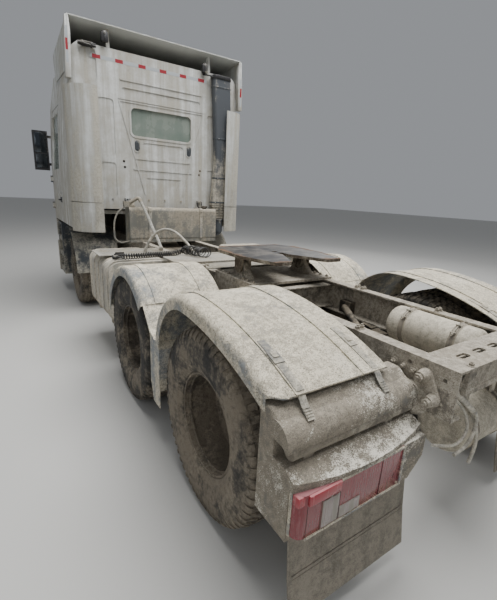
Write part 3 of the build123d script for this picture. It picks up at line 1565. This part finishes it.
# Roof air deflector: a raised shell open to the rear, with side cheeks
spoiler_front = y_cab_front + 900
spoiler_rear = y_cab_rear + 80
spoiler_wall = 10
spoiler_low = z_roof_rear - 20
with BuildPart() as roof_spoiler:
    with BuildSketch(Plane.YZ):
        with BuildLine():
            Polyline(
                (spoiler_front, z_roof_crown + 20),
                (spoiler_front + 60, z_roof_crown + 60),
                (spoiler_rear, spoiler_top),
                (spoiler_rear, spoiler_top - spoiler_wall),
                (spoiler_front + 60, z_roof_crown + 50),
                (spoiler_front + 8, z_roof_crown + 15),
                close=True,
            )
        make_face()
    extrude(amount=cab_top_half_width - 20, both=True)
    for _, sign in sides:
        with BuildSketch(Plane.YZ.offset(sign * (cab_top_half_width - 20))):
            with BuildLine():
                Polyline(
                    (spoiler_front, z_roof_crown + 20),
                    (spoiler_front + 60, z_roof_crown + 60),
                    (spoiler_rear, spoiler_top),
                    (spoiler_rear, spoiler_low - 60),
                    (y_cab_rear - 10, spoiler_low - 260),
                    (spoiler_front + 100, z_roof_crown - 300),
                    close=True,
                )
            make_face()
        extrude(amount=-sign * spoiler_wall)
    for x in (-700, 700):
        with Locations((x, y_cab_rear - 60, (z_roof_rear - 40 + spoiler_top - 14) / 2)):
            Box(40, 60, spoiler_top - 14 - z_roof_rear + 40)
    add(cab_block(0), mode=Mode.SUBTRACT)
save(roof_spoiler, "roof_spoiler")

# Side deflectors: curved panels that turn in behind the cab's rear corners, on short brackets
deflector_front = y_cab_rear - 150
deflector_rear = y_cab_rear + deflector_reach
deflector_x = cab_half_width + 8
deflector_in = cab_half_width - deflector_fold
bulge_x = cab_half_width - 75
bulge_y = deflector_rear - 95
with BuildPart() as side_deflectors:
    for _, sign in sides:
        for low, high in ((deflector_bottom, deflector_split - 5), (deflector_split + 5, z_roof_seam)):
            with BuildSketch(Plane.XY.offset(low)):
                with BuildLine():
                    outer_side = Line((sign * deflector_x, deflector_front), (sign * deflector_x, y_cab_rear - 60))
                    outer_arc = ThreePointArc(
                        outer_side @ 1, (sign * bulge_x, bulge_y), (sign * deflector_in, deflector_rear)
                    )
                    fold = Line(outer_arc @ 1, (sign * (deflector_in + 2), deflector_rear - fairing_wall - 8))
                    inner_arc = ThreePointArc(
                        fold @ 1,
                        (sign * (bulge_x - 6), bulge_y - 8),
                        (sign * (deflector_x - fairing_wall), y_cab_rear - 62),
                    )
                    inner_side = Line(inner_arc @ 1, (sign * (deflector_x - fairing_wall), deflector_front))
                    Line(inner_side @ 1, outer_side @ 0)
                make_face()
            extrude(amount=high - low)
            for share in (0.15, 0.85):
                with Locations((sign * (deflector_x - 40), deflector_front + 60, low + share * (high - low))):
                    Box(80 - fairing_wall, 30, 24)
    add(cab_block(0), mode=Mode.SUBTRACT)
save(side_deflectors, "side_deflectors")

# Intake snorkel on the right of the rear wall
snorkel_top = 3400
snorkel_foot = 1600
boot_bottom = filter_top + filter_flange_wall + moving_gap
boot_core_width = 190
boot_core_depth = 76
boot_pleats = 5
boot_pleat = 18
boot_pleat_wall = 20
with BuildPart() as snorkel:
    for low, high in (((-840, snorkel_foot, 130), (-910, 2250, 140)), ((-910, 2250, 140), (-840, snorkel_top, 140))):
        for x, z, half in (low, high):
            with BuildSketch(Plane.XY.offset(z)):
                with Locations((x, y_cab_rear + 80)):
                    RectangleRounded(2 * half, 120, 40)
        loft()
    with Locations((-840, y_cab_rear + 80, (snorkel_foot + boot_bottom) / 2)):
        Box(boot_core_width, boot_core_depth, snorkel_foot - boot_bottom)
    for step in range(boot_pleats):
        with Locations((-840, y_cab_rear + 80, boot_bottom + (step + 0.5) * (snorkel_foot - boot_bottom) / boot_pleats)):
            Box(boot_core_width + 2 * boot_pleat, boot_core_depth + 2 * boot_pleat, boot_pleat_wall)
    with Locations((-840, y_cab_rear + 10, 3250)):
        Box(120, 20, 80)
    with Locations((-900, y_cab_rear + 10, 2000)):
        Box(120, 20, 80)
save(snorkel, "snorkel")

# Mirrors on the front corners
with BuildPart() as mirrors:
    for _, sign in sides:
        with Locations((sign * (cab_half_width + 130), y_cab_front + 60, 2330)):
            Box(220, 110, 620)
        for z in (2120, 2560):
            with Locations((sign * (cab_half_width - 10), y_cab_front + 60, z)):
                Box(140, 40, 40)
    add(cab_block(0), mode=Mode.SUBTRACT)
save(mirrors, "mirrors")

# Dashboard with a steering wheel on the left
with BuildPart() as dashboard:
    with BuildSketch(Plane.YZ):
        with BuildLine():
            Polyline(
                (y_cab_front + cab_wall, cab_floor_bottom + cab_floor_wall),
                (y_cab_front + 280, cab_floor_bottom + cab_floor_wall),
                (y_cab_front + 420, 1930),
                (y_cab_front + 300, 1985),
                (y_cab_front + cab_wall, 1950),
                close=True,
            )
        make_face()
    extrude(amount=cab_half_width - 180, both=True)
    with Locations(Location((600, y_cab_front + 540, 1900), (-60, 0, 0))):
        Torus(220, 16)
        Cylinder(45, 40)
        Box(430, 34, 16)
    with Locations(Location((600, y_cab_front + 470, 1860), (-60, 0, 0))):
        Cylinder(30, 260)
save(dashboard, "dashboard")

# Two seats and a bunk
seat_y = y_cab_front + 960
floor_top = cab_floor_bottom + cab_floor_wall
with BuildPart() as seats:
    for x in (-600, 600):
        with Locations((x, seat_y, floor_top + 150)):
            Box(380, 380, 300)
        with Locations((x, seat_y, floor_top + 370)):
            Box(520, 500, 140)
        with Locations((x, seat_y + 270, floor_top + 740)):
            Box(500, 130, 880)
with BuildPart() as bunk:
    with Locations((0, y_cab_rear - cab_wall - 370, floor_top + 200)):
        Box(2 * (cab_half_width - cab_wall) - 180, 680, 400)
with BuildPart() as seats_and_bunk:
    add(seats.part)
    add(bunk.part)
save(seats_and_bunk, "seats_and_bunk")

# Steering knuckles: forked ends with the kingpin through the axle beam, and the wheel spindle
fork_gap = 1
fork_height = 50
spindle_shoulder = x_steer_wheel - 60
with BuildPart() as knuckle:
    for end in (-1, 1):
        with Locations((kingpin_x, y_steer, z_hub + end * (eye_height / 2 + fork_gap + fork_height / 2))):
            Cylinder(eye_radius, fork_height)
        with Locations((kingpin_x + 40, y_steer, z_hub + end * (eye_height / 2 + fork_gap + fork_height / 2))):
            Box(80, 2 * eye_radius, fork_height)
    with Locations((kingpin_x, y_steer, z_hub)):
        Cylinder(kingpin_radius, eye_height + 2 * fork_gap + 2 * fork_height)
    with Locations((kingpin_x + 80, y_steer, z_hub)):
        Box(36, 2 * eye_radius, eye_height + 2 * fork_gap + 2 * fork_height)
    with Locations(Location((kingpin_x + 90, y_steer, z_hub), (0, 90, 0))):
        Cylinder(spindle_radius, x_steer_wheel + 90 - kingpin_x - 90, align=(Align.CENTER, Align.CENTER, Align.MIN))
    arm_z = z_hub - eye_height / 2 - fork_gap - fork_height / 2
    with Locations((kingpin_x, y_steer + steer_arm / 2, arm_z)):
        Box(40, steer_arm, 36)
    with Locations((kingpin_x, y_steer + steer_arm, arm_z)):
        Cylinder(35, 36)
with BuildPart() as knuckle_left:
    add(knuckle.part)
    with Locations((kingpin_x, y_steer + steer_arm, arm_z - 30)):
        Cylinder(14, 60)
save(knuckle_left, "knuckle_left")
with BuildPart() as knuckle_right:
    add(mirror(knuckle.part, about=Plane.YZ))
    with Locations((-kingpin_x, y_steer + steer_arm, arm_z - 30)):
        Cylinder(14, 60)
save(knuckle_right, "knuckle_right")

# Tie rod between the knuckle arms, in closed eyes
rod_z = arm_z - 44
with BuildPart() as tie_rod:
    with Locations(Location((0, y_steer + steer_arm, rod_z), (0, 90, 0))):
        Cylinder(rod_radius, 2 * kingpin_x - 50)
    for _, sign in sides:
        with Locations((sign * (kingpin_x), y_steer + steer_arm, rod_z)):
            Cylinder(32, 30)
            Cylinder(14.05, 40, mode=Mode.SUBTRACT)
save(tie_rod, "tie_rod")

# Tyres: plain ring with rounded shoulders
shoulder = 40
with BuildPart() as tyre:
    with BuildSketch(Plane.XZ):
        with BuildLine():
            Polyline(
                (-rim_width / 2 + 8, bead_radius),
                (-tyre_width / 2, 390),
                (-tyre_width / 2 + 6, tyre_radius - 50),
                (-tyre_width / 2 + shoulder, tyre_radius),
                (tyre_width / 2 - shoulder, tyre_radius),
                (tyre_width / 2 - 6, tyre_radius - 50),
                (tyre_width / 2, 390),
                (rim_width / 2 - 8, bead_radius),
                (rim_width / 2 - 8, bead_radius - 10),
                (-rim_width / 2 + 8, bead_radius - 10),
                close=True,
            )
        make_face()
    revolve(axis=Axis.X)
    with Locations(Location((0, 0, 0), (0, 90, 0))):
        Cylinder(bead_radius, 2 * tyre_width, mode=Mode.SUBTRACT)

# Leads on the deck: a braided one, an arched one, and a curly one that ends in a heap
with BuildPart() as lead_braided:
    add(bent_tube(braided_route, braided_diameter))
save(lead_braided, "lead_braided")
with BuildPart() as lead_arched:
    add(bent_tube(arched_route, arched_diameter))
save(lead_arched, "lead_arched")
heap_run = Vector(heap_ends[1]) - Vector(heap_ends[0])
heap_floor = frame_top + deck_wall + tray_height
with BuildPart() as lead_heap:
    with BuildSketch(Plane.XY.offset(heap_floor)):
        with Locations((Vector(heap_ends[0]) + Vector(heap_ends[1])) / 2):
            SlotCenterToCenter(heap_run.length, heap_width, rotation=degrees(atan2(heap_run.Y, heap_run.X)))
    extrude(amount=heap_height)
    fillet(faces().sort_by(Axis.Z)[-1].edges(), heap_round)
    add(bent_tube(coil_route, coil_diameter), mode=Mode.SUBTRACT)
    add(bent_tube(arched_route, arched_diameter + 8), mode=Mode.SUBTRACT)
    add(nozzle(arched_route[-1], arched_route[-2], arched_diameter + 14, 60), mode=Mode.SUBTRACT)
with BuildPart() as lead_coil:
    add(bent_tube(coil_route, coil_diameter))
    add(nozzle(coil_route[0], coil_route[1], coil_plug_diameter, coil_plug_length))
    add(lead_heap.part)
save(lead_coil, "lead_coil")

# Cut hoses out of the left rail's end: a sleeve with two hoses in its collar, and a thin one
with BuildPart() as tail_hoses:
    add(bent_tube(sleeve_route, sleeve_diameter))
    add(nozzle(sleeve_route[-1], sleeve_route[-2], collar_diameter, collar_length))
    for route in hose_routes:
        add(bent_tube(route, tail_hose_diameter))
    add(bent_tube(thin_hose_route, thin_hose_diameter))
save(tail_hoses, "tail_hoses")

# Rims: barrels on dished discs, with a closed hub over the spindle
rim_outer = bead_radius - contact_gap
rim_inner = rim_outer - rim_wall
rim_half = rim_width / 2
steer_face = 88
steer_bore_depth = 95
with BuildPart() as steer_rim:
    with BuildSketch(Plane.XZ):
        with BuildLine():
            Polyline(
                (-50, spindle_radius + bearing_gap),
                (steer_bore_depth, spindle_radius + bearing_gap),
                (steer_bore_depth, 0),
                (steer_bore_depth + 25, 0),
                (steer_bore_depth + 25, 70),
                (steer_bore_depth + 10, 100),
                (steer_face, 110),
                (steer_face, 225),
                (steer_face - 28, rim_inner),
                (rim_half, rim_inner),
                (rim_half, rim_outer),
                (-rim_half, rim_outer),
                (-rim_half, rim_inner),
                (steer_face - 44, rim_inner),
                (steer_face - disc_wall, 225),
                (steer_face - disc_wall, 110),
                (-50, hub_radius),
                close=True,
            )
        make_face()
    revolve(axis=Axis.X)
    with BuildSketch(Plane.YZ.offset(steer_face)):
        with PolarLocations(hand_hole_circle, hand_holes):
            Circle(hand_hole_radius)
    extrude(amount=-2 * disc_wall, mode=Mode.SUBTRACT)
dual_half = dual_spacing / 2
barrel_near = dual_half - rim_half
barrel_far = dual_half + rim_half
drive_bore_end = -110
hub_inner_end = -215
with BuildPart() as drive_rim:
    with BuildSketch(Plane.XZ):
        with BuildLine():
            Polyline(
                (hub_inner_end, drive_spindle_radius + bearing_gap),
                (drive_bore_end, drive_spindle_radius + bearing_gap),
                (drive_bore_end, 0),
                (115, 0),
                (115, 70),
                (95, 100),
                (disc_wall, hub_radius),
                (disc_wall, 150),
                (barrel_near - 6, 225),
                (barrel_near + 16, rim_inner),
                (barrel_far, rim_inner),
                (barrel_far, rim_outer),
                (barrel_near, rim_outer),
                (barrel_near, rim_inner),
                (barrel_near - 22, 225),
                (0, 150),
                (-barrel_near + 22, 225),
                (-barrel_near, rim_inner),
                (-barrel_near, rim_outer),
                (-barrel_far, rim_outer),
                (-barrel_far, rim_inner),
                (-barrel_near - 16, rim_inner),
                (-barrel_near + 6, 225),
                (-disc_wall, 150),
                (-disc_wall, hub_radius),
                (hub_inner_end, hub_radius),
                close=True,
            )
        make_face()
    revolve(axis=Axis.X)
    with BuildSketch(Plane.YZ):
        with PolarLocations(hand_hole_circle, hand_holes):
            Circle(hand_hole_radius)
    extrude(amount=barrel_near, both=True, mode=Mode.SUBTRACT)


def place(name, x, y, turn, pieces):
    """Writes copies of parts set about a wheel centre and turned about the upright axis."""
    with BuildPart() as placed:
        for piece, shift in pieces:
            with Locations(Location((x + shift, y, z_hub), (0, 0, turn))):
                add(piece)
    save(placed, name)


for name, sign in sides:
    turn = 0 if sign > 0 else 180
    place(f"tyre_steer_{name}", sign * x_steer_wheel, y_steer, turn, ((tyre.part, 0),))
    place(f"rim_steer_{name}", sign * x_steer_wheel, y_steer, turn, ((steer_rim.part, 0),))
    for row, y in enumerate(drive_axle_ys, start=1):
        twins = ((tyre.part, -dual_half), (tyre.part, dual_half))
        place(f"tyres_drive_{row}_{name}", sign * x_drive_wheel, y, turn, twins)
        place(f"rims_drive_{row}_{name}", sign * x_drive_wheel, y, turn, ((drive_rim.part, 0),))
